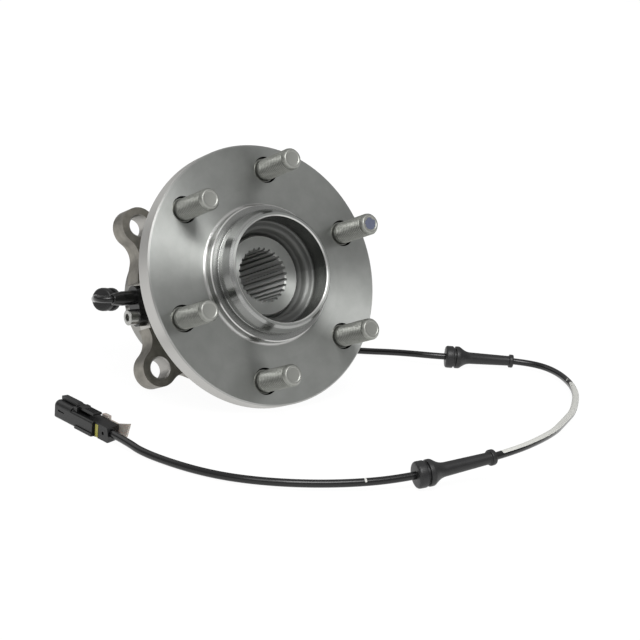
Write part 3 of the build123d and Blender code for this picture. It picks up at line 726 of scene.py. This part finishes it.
class Finish(Enum):
    """Every finish of the unit, named for what the real surface is."""

    # Lathe-turned forging steel, washed and dry: satin neutral grey, with highlights fanned across the rings.
    # A real tool mark is about 0.2 mm wide; the rings are drawn about twice as coarse, so that they show.
    FLANGE = TurnedSteel(
        "turned flange steel", "#a8aaa7", "#b0b2af", 0.42, 0.88, 0.45, 0.004,
        (
            # The stud holes' walls, painted near black as the shade in the gap round each stud, then the rim
            # and the broken corner at its front.
            Zone((46.0, 69.0), (-11.0, -0.12), "#1c1c1b", 0.6),
            Zone((69.7, 72.0), (-12.0, -0.7), "#c6c5c2", 0.36),
            Zone((69.5, 70.6), (-0.55, 0.2), "#b2b2b0", 0.34, 0.1),
            # The finely turned pilots.
            Zone((30.0, 37.6), (0.5, 18.0), "#a4a5a3", 0.27),
            # The nut recess, painted darker than the flange's own steel as the shade inside it: its wall, the
            # rougher foot of its wall, and the step between them.
            Zone((21.8, 28.9), (-9.0, 15.6), "#686967", 0.26),
            Zone((21.8, 25.6), (-9.0, 2.0), "#8a8b89", 0.5),
            Zone((23.0, 28.5), (-1.5, 4.6), "#70716f", 0.44, 0.4),
            # The broached spline, dull from oil.
            Zone((0.0, 15.6), (-90.0, -3.2), "#b4b5b3", 0.5),
            # Painted highlights: pale rings where the light catches the disc pilot's corner, its foot's, the
            # mouth's and the boss's.
            Zone((36.2, 37.1), (4.9, 5.7), "#dededc", 0.3, 0.1),
            Zone((36.6, 38.3), (-0.2, 1.2), "#c8c8c6", 0.3, 0.2),
            Zone((28.0, 29.0), (15.9, 16.8), "#dededc", 0.28, 0.1),
            Zone((20.9, 21.8), (-3.4, -2.4), "#e2e2e0", 0.25, 0.1),
        ),
    )
    # Hot-forged steel, shot-blasted: warm brownish grey and slightly grainy, and paler and smoother where it
    # is machined, which is inside its two mouths, on the flat under the sensor and in the ears' holes.
    FORGED = GrainedMetal(
        "shot-blasted forged steel", "#7f7c75", "#96928a", 6.0, 0.42, 0.85, 0.5, 0.07,
        (
            Zone((0.0, 49.5), (-47.9, -19.0), "#8f8f8a", 0.3),
            Zone((0.0, 38.6), (-90.0, -59.5), "#9b9a96", 0.28),
            Zone((46.0, 50.6), (-59.2, -48.1), "#c0beb9", 0.34),
        ),
        tuple(
            Spot((circle, degrees, -53.65), 8.5, "#b3b1ad", 1.0)
            for circle, degrees in ((58.3, 40.7), (58.3, 139.3), (59.3, 222.0), (59.3, 318.0))
        ),
    )
    # Zinc-phosphated stud steel: dull, faintly greenish grey, with painted shade in the thread's grooves,
    # paler on the cut end, and with a dab of marking paint on one stud's end. Its crystals are drawn ten
    # times too coarse.
    STUD = GrainedMetal(
        "phosphated stud steel", "#8a8c86", "#9b9c97", 1.2, 0.36, 0.85, 0.25, 0.03,
        (Zone((40.0, 75.0), (26.3, 28.0), "#a3a49f", 0.42),),
        (Spot((57.15, 20.0, 26.9), 3.3, "#5a5f72", 0.0, 2.6),), "#2b2c29",
    )
    # Ground and honed bearing steel: nearly a mirror.
    BEARING = TurnedSteel("ground bearing steel", "#c9c9c8", "#cfcfce", 0.1, 0.2, 0.3, 0.0005)
    # Deep-drawn sheet: even satin grey, with hardly any grain.
    PRESSED = GrainedMetal("pressed sheet steel", "#8d8d8a", "#989894", 4.0, 0.3, 1.0, 0.3, 0.004)
    # Zinc-nickel plate: pale silvery grey with small cloudy patches.
    SCREW = GrainedMetal("zinc-nickel screw plating", "#a9a9a6", "#b6b6b3", 1.5, 0.3, 1.0, 0.2, 0.006)
    # Drawn brass: soft dull gold, slightly tarnished in patches.
    BRASS = GrainedMetal("drawn brass", "#b59a5c", "#c0a86c", 2.0, 0.28, 1.0, 0.2, 0.004)
    # Glass-filled nylon left its own colour: straw-coloured and silky. On this and every moulding below, the
    # mould's spark-eroded skin is drawn a few times too coarse, so that it shows.
    CAGE = Moulded("glass-filled cage nylon", "#b8ac8e", "#c4b99c", 0.45, 1.53, 0.5, 0.01, 0.05)
    # Nitrile rubber: matt charcoal.
    SEAL = Moulded("nitrile seal rubber", "#161616", "#1c1c1c", 0.55, 1.52, 0.4, 0.01)
    # Black glass-filled nylon from a polished mould: nearly black, with sharp highlights.
    SENSOR = Moulded("glass-filled sensor nylon", "#0e0e0e", "#131313", 0.24, 1.53, 0.4, 0.006)
    # Moulded rubber: black with soft, broad highlights.
    GROMMET = Moulded("moulded grommet rubber", "#131314", "#1b1b1c", 0.42, 1.52, 0.5, 0.012)
    # Extruded jacket: black with a thin bright line along its top.
    CABLE = CableJacket()
    # Black connector nylon: charcoal, with a faint sheen on its flat faces.
    CONNECTOR = Moulded("moulded connector nylon", "#0c0c0d", "#121213", 0.36, 1.46, 0.35, 0.008)
    # Dyed nylon: dull olive yellow.
    LOCK = Moulded("yellow connector lock nylon", "#98943a", "#a29e48", 0.42, 1.53, 0.35, 0.006)
    # Undyed nylon: warm grey, letting a little light into its edges.
    CLIP = Moulded("natural nylon clip", "#a9a199", "#b3aca5", 0.36, 1.53, 0.5, 0.006, 0.08)


class Paintbox:
    """Builds each finish once, the first time that a piece asks for it."""

    def __init__(self, stance: Stance) -> None:
        """Keep the stance that the metals' coordinates need."""
        self.stance = stance
        self.made: dict[Finish, Material] = {}

    def dress(self, piece: Piece, finish: Finish) -> None:
        """Give a piece one finish all over, in every material slot that it has, and report it.

        Args:
            piece: a new piece or a CAD node's object.
            finish: the finish that it gets.
        """
        if finish not in self.made:
            self.made[finish] = finish.value.material(self.stance)
        material = self.made[finish]
        if not piece.material_slots:
            piece.data.materials.append(material)
        for slot in piece.material_slots:
            slot.material = material
        log.info("%s: %s", piece.name, finish.value.name)


# ------------------------ camera, light and table


@dataclass
class Viewpoint:
    """The camera: its place, its line of sight and roll in degrees, and its lens; near and far in metres."""

    place: Point = (-494.268, -727.171, 191.918)
    azimuth: float = 36.193
    elevation: float = -13.715
    roll: float = 4.4
    lens: float = 95.6
    sensor: float = 36.0
    near: float = 0.01
    far: float = 20.0

    def build(self) -> None:
        """Create the camera and make it the scene's own.

        Its sight is (sin a cos e, cos a cos e, sin e), for the azimuth a and the elevation e.
        """
        camera = bpy.data.cameras.new("camera")
        camera.lens, camera.sensor_width = self.lens, self.sensor
        camera.clip_start, camera.clip_end = self.near, self.far
        holder = bpy.data.objects.new("camera", camera)
        azimuth, elevation, roll = np.radians((self.azimuth, self.elevation, self.roll))
        sight = Vector((np.sin(azimuth) * np.cos(elevation), np.cos(azimuth) * np.cos(elevation),
                        np.sin(elevation)))
        level = sight.to_track_quat("-Z", "Y").to_matrix().to_4x4()
        place = Matrix.Translation(Vector(self.place) * MM)
        holder.matrix_world = place @ level @ Matrix.Rotation(float(roll), 4, "Z")
        bpy.context.scene.collection.objects.link(holder)
        bpy.context.scene.camera = holder


@dataclass(frozen=True)
class Softbox:
    """A rectangular studio lamp turned towards the unit: place and size in metres, and power in watts."""

    name: str
    place: Point
    size: Span
    power: float

    def hang(self) -> None:
        """Add the lamp."""
        light = bpy.data.lights.new(self.name, "AREA")
        light.shape = "RECTANGLE"
        light.size, light.size_y = self.size
        light.energy = self.power
        holder = bpy.data.objects.new(self.name, light)
        place = Vector(self.place)
        turned = (-place).to_track_quat("-Z", "Y").to_matrix().to_4x4()
        holder.matrix_world = Matrix.Translation(place) @ turned
        bpy.context.scene.collection.objects.link(holder)


@dataclass
class Studio:
    """A pale table in a white room under softboxes; its lengths are in metres.

    The room's light in a direction is `room` plus the dot product of the direction and `room_tilt`, so it
    is strongest overhead. The table gives back `glow_near` of its white under the unit, to leave room for
    the shadow, and all of it from the far end of `glow_reach` on, where it meets the room without a line.
    """

    lamps: tuple[Softbox, ...] = (
        Softbox("key softbox", (-0.8, -0.8, 1.15), (1.0, 1.0), 6.6),
        Softbox("overhead softbox", (-0.25, -0.8, 1.05), (0.6, 0.6), 8.0),
        Softbox("rear softbox", (-0.5, 1.2, 1.0), (1.2, 0.8), 1.8),
    )
    room: float = 0.29
    room_tilt: Point = (-0.05, -0.08, 0.34)
    table_colour: str = "#f4f4f2"
    table_size: float = 8.0
    glow_strength: float = 1.04
    glow_near: float = 0.92
    glow_reach: Span = (0.2, 0.6)
    glow_mirrored: float = 0.74

    def build(self, stance: Stance) -> None:
        """Set the room, the lamps, the table and the plain view transform.

        Args:
            stance: the unit's stance, for the table's height.
        """
        self.light_room()
        for lamp in self.lamps:
            lamp.hang()
        self.lay_table(stance.table)
        bpy.context.scene.view_settings.view_transform = "Standard"

    def light_room(self) -> None:
        """Make the world white to the camera, and light that comes mostly from above for all else."""
        world = bpy.data.worlds.new("studio")
        bpy.context.scene.world = world
        tree = empty_tree(world)
        way = add_node(tree, "TexCoord").outputs["Generated"]
        lean = add_node(tree, "VectorMath", {0: way, 1: self.room_tilt}, operation="DOT_PRODUCT")
        level = add_node(tree, "Math", {0: lean.outputs["Value"], 1: self.room}, operation="ADD")
        ray = add_node(tree, "LightPath")
        strength = add_node(
            tree, "Mix", {0: ray.outputs["Is Camera Ray"], NUMBER_A: level.outputs[0], NUMBER_B: 1.0}
        )
        background = add_node(tree, "Background", {0: WHITE, 1: strength.outputs[0]})
        add_node(tree, "OutputWorld", {0: background.outputs[0]})

    def lay_table(self, height: float) -> None:
        """Lay the table under the unit: nearly white to the camera, with the unit's shadow kept.

        Args:
            height: the table's height in metres.
        """
        half = self.table_size / 2
        corners = np.array([(x * half, y * half, height) for x, y in ((-1, -1), (1, -1), (1, 1), (-1, 1))])
        table = new_mesh("table", corners, np.array([[0, 1, 2, 3]]))
        material = bpy.data.materials.new("white table")
        tree = empty_tree(material)
        matt = add_node(tree, "BsdfDiffuse", {0: linear(self.table_colour)})
        glow = add_node(tree, "Emission", {0: WHITE, 1: self.glow_strength})
        place = add_node(tree, "TexCoord").outputs["Object"]
        away = add_node(tree, "VectorMath", {0: place}, operation="LENGTH").outputs["Value"]
        near, far = self.glow_reach
        share = add_node(
            tree, "MapRange",
            {"Value": away, "From Min": near, "From Max": far, "To Min": self.glow_near, "To Max": 1.0},
            interpolation_type="SMOOTHSTEP",
        )
        # Polished steel mirrors the table's white, more than the lamps alone would give it.
        ray = add_node(tree, "LightPath")
        seen, mirrored = (
            add_node(tree, "Math", {0: ray.outputs[kind], 1: amount}, operation="MULTIPLY")
            for kind, amount in (("Is Camera Ray", share.outputs["Result"]),
                                 ("Is Glossy Ray", self.glow_mirrored))
        )
        most = add_node(tree, "Math", {0: seen.outputs[0], 1: mirrored.outputs[0]}, operation="MAXIMUM")
        mix = add_node(tree, "MixShader", {0: most.outputs[0], 1: matt.outputs[0], 2: glow.outputs[0]})
        add_node(tree, "OutputMaterial", {0: mix.outputs[0]})
        table.data.materials.append(material)


# ------------------------ cable and its grommets


@dataclass
class CablePath:
    """Points along the middle of the cable, with their distance from its start, all in metres."""

    points: Array
    distance: Array

    def frames(self, distance: Array) -> tuple[Array, Array, Array]:
        """Work out where the path is and which way its side and its top face.

        The side is the cross product of the path's direction and the world's up, which the nearly level
        cable never meets, and the upward direction is the cross product of the side and the direction.

        Args:
            distance: distances along the path, in metres.

        Returns:
            Points, side directions and upward directions, each of shape (n, 3).
        """
        slope = np.gradient(self.points, self.distance, axis=0)
        spot, way = (
            np.stack([np.interp(distance, self.distance, column) for column in values.T], axis=-1)
            for values in (self.points, slope)
        )
        way /= np.linalg.norm(way, axis=1, keepdims=True)
        side = np.cross(way, (0.0, 0.0, 1.0))
        side /= np.linalg.norm(side, axis=1, keepdims=True)
        return spot, side, np.cross(side, way)

    def nearest(self, spot: Array) -> float:
        """Return the distance along the path of its point nearest to a spot."""
        return float(self.distance[np.argmin(np.linalg.norm(self.points - spot, axis=1))])

    def tube(self, name: str, distance: Array, radius: Array, sides: int) -> Piece:
        """Carry a circle of varying radius along the path.

        A vertex is spot + radius (up cos a + side sin a), for each distance and each angle a from the top.

        Args:
            name: the piece's name.
            distance: where each ring lies along the path, in metres.
            radius: each ring's radius, in metres; a ring of no radius closes an end.
            sides: how many vertices a ring has.

        Returns:
            The object, with a UV map named "along" of turn share and distance.
        """
        spot, side, up = self.frames(distance)
        angle = np.linspace(0, 2 * math.pi, sides, endpoint=False)
        ring = up[:, None] * np.cos(angle)[None, :, None] + side[:, None] * np.sin(angle)[None, :, None]
        points = spot[:, None] + radius[:, None, None] * ring
        quads = grid_quads(len(distance), sides)
        piece = new_mesh(name, points.reshape(-1, 3), quads)
        row, column = np.divmod(np.arange(len(quads)), sides)
        share = np.stack([column, column + 1, column + 1, column], axis=-1) / sides
        along = distance[np.stack([row, row, row + 1, row + 1], axis=-1)]
        layer = piece.data.uv_layers.new(name="along")
        layer.data.foreach_set("uv", np.stack([share, along], axis=-1).astype(np.float32).ravel())
        return piece


@dataclass
class SensorCable:
    """The cable: it leaves the sensor, loops round the unit on the table and ends in the connector.

    The route's points are (x, y, height above the table) in metres, as are its diameter and its length.
    """

    diameter: float = 0.0038
    length: float = 0.7835
    sides: int = 28
    resolution: int = 24
    route: tuple[Point, ...] = (
        (-0.0594, 0.04942, 0.0483), (-0.0674, 0.04942, 0.0483), (-0.07, 0.0565, 0.0475),
        (-0.0645, 0.067, 0.045), (-0.0545, 0.087, 0.0385), (-0.009, 0.0945, 0.0345),
        (0.03, 0.099, 0.027), (0.058, 0.087, 0.007), (0.084, 0.0735, 0.0025),
        (0.1105, 0.0565, 0.002), (0.124, 0.0345, 0.0055), (0.1395, 0.0135, 0.007),
        (0.1845, -0.003, 0.0045), (0.1945, -0.0235, 0.004), (0.179, -0.0595, 0.0035),
        (0.141, -0.0975, 0.006), (0.11, -0.122, 0.0105), (0.0765, -0.1475, 0.015),
        (0.036, -0.161, 0.0145), (-0.0145, -0.1505, 0.006), (-0.045, -0.1405, 0.004),
        (-0.0745, -0.124, 0.0035), (-0.0935, -0.0995, 0.0025), (-0.1055, -0.0645, 0.0025),
        (-0.106964, -0.047468, 0.0043), (-0.108063, -0.032509, 0.0043),
    )
    passengers: tuple[str, ...] = (
        "connector_cap", "connector_lock", "connector_housing", "connector_latch", "wire_seals",
        "terminal_pins", "mounting_clip",
    )
    path: CablePath = field(init=False)

    def trace(self, table: float) -> None:
        """Read the path from a smooth spline that has the route's points as its control points.

        Args:
            table: the table's height in metres.
        """
        curve = bpy.data.curves.new("cable route", "CURVE")
        curve.dimensions = "3D"
        spline = curve.splines.new("NURBS")
        spline.points.add(len(self.route) - 1)
        points = np.array(self.route) + (0.0, 0.0, table)
        spline.points.foreach_set("co", np.column_stack([points, np.ones(len(points))]).ravel())
        spline.order_u = 3
        spline.use_endpoint_u = True
        spline.resolution_u = self.resolution
        holder = bpy.data.objects.new("cable route", curve)
        bpy.context.scene.collection.objects.link(holder)
        mesh = bpy.data.meshes.new_from_object(holder)
        traced = np.empty(len(mesh.vertices) * 3)
        mesh.vertices.foreach_get("co", traced)
        bpy.data.objects.remove(holder)
        traced = distinct(traced.reshape(-1, 3))
        steps = np.linalg.norm(np.diff(traced, axis=0), axis=1)
        self.path = CablePath(traced, np.concatenate([[0.0], np.cumsum(steps)]))

    def build(self, paints: Paintbox, grommets: list[Piece], frame: Frame) -> None:
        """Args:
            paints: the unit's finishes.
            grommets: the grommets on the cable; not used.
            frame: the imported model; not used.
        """
        distance = self.path.distance
        radius = np.full(len(distance), self.diameter / 2)
        piece = self.path.tube("cable", np.pad(distance, 1, "edge"), np.pad(radius, 1), self.sides)
        paints.dress(piece, Finish.CABLE)
        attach(piece, "carrier")
        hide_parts("sensor_cable")


@dataclass
class Grommet:
    """A grooved rubber grommet moulded round the cable, with a long tapering sleeve and an end collar."""

    name: str
    head_first: bool
    groove_width: float = 1.2
    length: float = 42.0
    head: float = 6.5
    head_width: float = 4.6
    head_edge: float = 1.5
    flange_width: float = 2.4
    flange_edge: float = 0.6
    groove: float = 5.2
    groove_edge: float = 0.15
    cone: float = 4.4
    barrel: float = 3.5
    barrel_blend: float = 2.6
    tip: float = 2.9
    tip_edge: float = 0.4
    collar: float = 3.9
    collar_width: float = 2.5
    collar_edges: Span = (0.5, 0.7)
    bore: float = 1.9
    sides: int = 48

    def outline(self) -> Array:
        """Draw the rubber's profile from the head's face to the collar's.

        Returns:
            (distance from the head's face, radius) points, of shape (n, 2).
        """
        groove_end = self.head_width + self.groove_width
        cone_start = groove_end + self.flange_width
        sleeve = cone_start + self.cone
        neck = self.length - self.collar_width
        inner_edge, outer_edge = self.collar_edges
        return rounded(np.array([
            (0.0, self.bore, 0.0), (0.0, self.head, self.head_edge),
            (self.head_width, self.head, self.flange_edge), (self.head_width, self.groove, self.groove_edge),
            (groove_end, self.groove, self.groove_edge), (groove_end, self.head, self.flange_edge),
            (cone_start, self.head, self.flange_edge), (sleeve, self.barrel, self.barrel_blend),
            (neck, self.tip, self.tip_edge), (neck, self.collar, inner_edge),
            (self.length, self.collar, outer_edge), (self.length, self.bore, 0.0),
        ]))

    def build(self, path: CablePath, paints: Paintbox) -> Piece:
        """Carry the profile along the cable, over the CAD grommet's own stretch.

        Args:
            path: the cable's path.
            paints: the unit's finishes.

        Returns:
            The rubber's object.
        """
        low, high = (np.array(corner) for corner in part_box(self.name))
        middle = path.nearest((low + high) / 2)
        station, radius = self.outline().T
        offset = (station - self.length / 2) * MM
        if not self.head_first:
            offset, radius = -offset[::-1], radius[::-1]
        piece = path.tube(f"{self.name}.rubber", middle + offset, radius * MM, self.sides)
        paints.dress(piece, Finish.GROMMET)
        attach(piece, "carrier")
        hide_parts(self.name)
        return piece


# ------------------------ hub and its studs


@dataclass
class WheelStuds:
    """Six pressed-in studs with a fine metric thread and a shallow dimple in each end."""

    count: int = 6
    circle: float = 57.15
    clocking: float = 20.0
    thread_radius: float = 5.9
    thread_depth: float = 0.92
    thread_start: float = 1.5
    thread_end: float = 25.2
    thread_runout: float = 0.3
    pitch: float = 1.5
    reach: float = 26.8
    tip: float = 4.5
    tip_edge: float = 0.25
    dimple_depth: float = 0.25
    dimple_rim: float = 0.5
    dimple_foot: float = 0.9
    knurl: float = 6.45
    relief: float = -1.6
    head: float = 8.6
    head_front: float = -11.1
    head_height: float = 4.5
    head_edge: float = 0.8
    small_edge: float = 0.1
    sides: int = 40
    steps_per_turn: int = 10

    def shank(self) -> Array:
        """Draw the stud from the middle of its head's back to where its thread starts.

        Returns:
            (station, radius) points, of shape (n, 2).
        """
        back = self.head_front - self.head_height
        return rounded(np.array([
            (back, 0.0, 0.0), (back, self.head, self.head_edge),
            (self.head_front, self.head, self.small_edge), (self.head_front, self.knurl, 0.0),
            (self.relief, self.knurl, self.small_edge), (self.relief, self.thread_radius, 0.0),
            (self.thread_start, self.thread_radius, 0.0),
        ]), steps=4)

    def end(self) -> Array:
        """Draw the stud's tapered end and the dimple in it.

        Returns:
            (station, radius) points, of shape (n, 2), the last one on the stud's axis.
        """
        floor = self.reach - self.dimple_depth
        return rounded(np.array([
            (self.thread_end, self.thread_radius - self.small_edge, 0.0),
            (self.reach, self.tip + self.tip_edge, self.tip_edge),
            (self.reach, self.tip - self.dimple_rim, self.small_edge),
            (floor, self.tip - self.dimple_foot, self.small_edge), (floor, 0.0, 0.0),
        ]), steps=3)[1:]

    def stud(self) -> tuple[Array, Array, Array, Array]:
        """Work out one stud about its own axis.

        The thread is r = major - depth * (1 - |2 frac(s / pitch - a / 2 pi) - 1|), faded in and out over
        one pitch at its two ends, where s is the station and a is the angle.

        Returns:
            Angles, stations, radii and shares of the thread's depth, each of shape (rows, sides).
        """
        shank, end = self.shank(), self.end()
        rows = int((self.thread_end - self.thread_start) / self.pitch * self.steps_per_turn)
        thread = np.linspace(self.thread_start, self.thread_end, rows)[1:]
        station = np.concatenate([shank[:, 0], thread, end[:, 0]])
        base = np.concatenate([shank[:, 1], np.full(len(thread), self.thread_radius), end[:, 1]])
        angle = np.linspace(0, 2 * math.pi, self.sides, endpoint=False)
        station, angle = np.meshgrid(station, angle, indexing="ij")
        phase = np.mod(station / self.pitch - angle / (2 * math.pi), 1.0)
        fade = np.clip((station - self.thread_start) / self.pitch, 0, 1)
        fade *= np.clip((self.thread_end + self.thread_runout - station) / self.pitch, 0, 1)
        share = (1 - np.abs(2 * phase - 1)) * fade
        return angle, station, base[:, None] - self.thread_depth * share, share

    def build(self, stance: Stance, paints: Paintbox) -> None:
        """Place the studs on their circle as one piece, with the thread's depth as an attribute for the
        painted shade in its grooves.

        Args:
            stance: the unit's stance.
            paints: the unit's finishes.
        """
        angle, station, radius, share = self.stud()
        turns = np.radians(self.clocking + np.arange(self.count) * 360 / self.count)[:, None, None]
        x = radius * np.cos(angle) + self.circle * np.cos(turns)
        y = radius * np.sin(angle) + self.circle * np.sin(turns)
        points = stance.place(np.hypot(x, y), np.arctan2(y, x), np.broadcast_to(station, x.shape))
        quads = grid_quads(*station.shape)
        shift = np.arange(self.count)[:, None, None] * station.size
        piece = new_mesh("studs", points.reshape(-1, 3), (quads[None] + shift).reshape(-1, 4))
        groove = piece.data.attributes.new("groove", "FLOAT", "POINT")
        groove.data.foreach_set("value", np.tile(share.ravel(), self.count).astype(np.float32))
        paints.dress(piece, Finish.STUD)
        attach(piece, "hub")
        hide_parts("wheel_studs")


# ------------------------ CAD pieces


@dataclass
class CadPieces:
    """CAD pieces whose shape is already right, under the finish that they take."""

    finishes: dict[Finish, tuple[str, ...]] = field(default_factory=lambda: {
        Finish.FLANGE: ("hub_flange",),
        Finish.FORGED: ("outer_ring",),
        Finish.BEARING: ("inner_ring", "outboard_balls", "inboard_balls"),
        Finish.CAGE: ("outboard_cage", "inboard_cage"),
        Finish.PRESSED: ("outboard_seal_case", "inboard_seal_case", "inboard_slinger", "tone_ring"),
        Finish.SEAL: ("outboard_seal_lip", "inboard_seal_lip", "sensor_o_ring", "wire_seals"),
        Finish.SENSOR: ("sensor_body", "sensor_boot"),
        Finish.BRASS: ("sensor_bush", "terminal_pins"),
        Finish.SCREW: ("sensor_screw",),
        Finish.CONNECTOR: ("connector_cap", "connector_housing", "connector_latch"),
        Finish.LOCK: ("connector_lock",),
        Finish.CLIP: ("mounting_clip",),
    })

    def build(self, frame: Frame, paints: Paintbox) -> None:
        """Dress each CAD piece.

        Args:
            frame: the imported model.
            paints: the unit's finishes.
        """
        for finish, names in self.finishes.items():
            for name in names:
                paints.dress(frame["nodes"][name], finish)


def main() -> None:
    """Build the scene: camera and cable first, then the table, the studs and every CAD piece's finish."""
    logging.basicConfig(level=logging.INFO, format="%(message)s")
    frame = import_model()
    stance = Stance.from_frame(frame)
    paints = Paintbox(stance)
    Viewpoint().build()
    cable = SensorCable()
    cable.trace(stance.table)
    grommets = [
        Grommet("knuckle_grommet", head_first=True, groove_width=3.0).build(cable.path, paints),
        Grommet("strut_grommet", head_first=True).build(cable.path, paints),
        Grommet("body_grommet", head_first=False).build(cable.path, paints),
    ]
    cable.build(paints, grommets, frame)
    Studio().build(stance)
    WheelStuds().build(stance, paints)
    CadPieces().build(frame, paints)


if __name__ == "__main__":
    main()
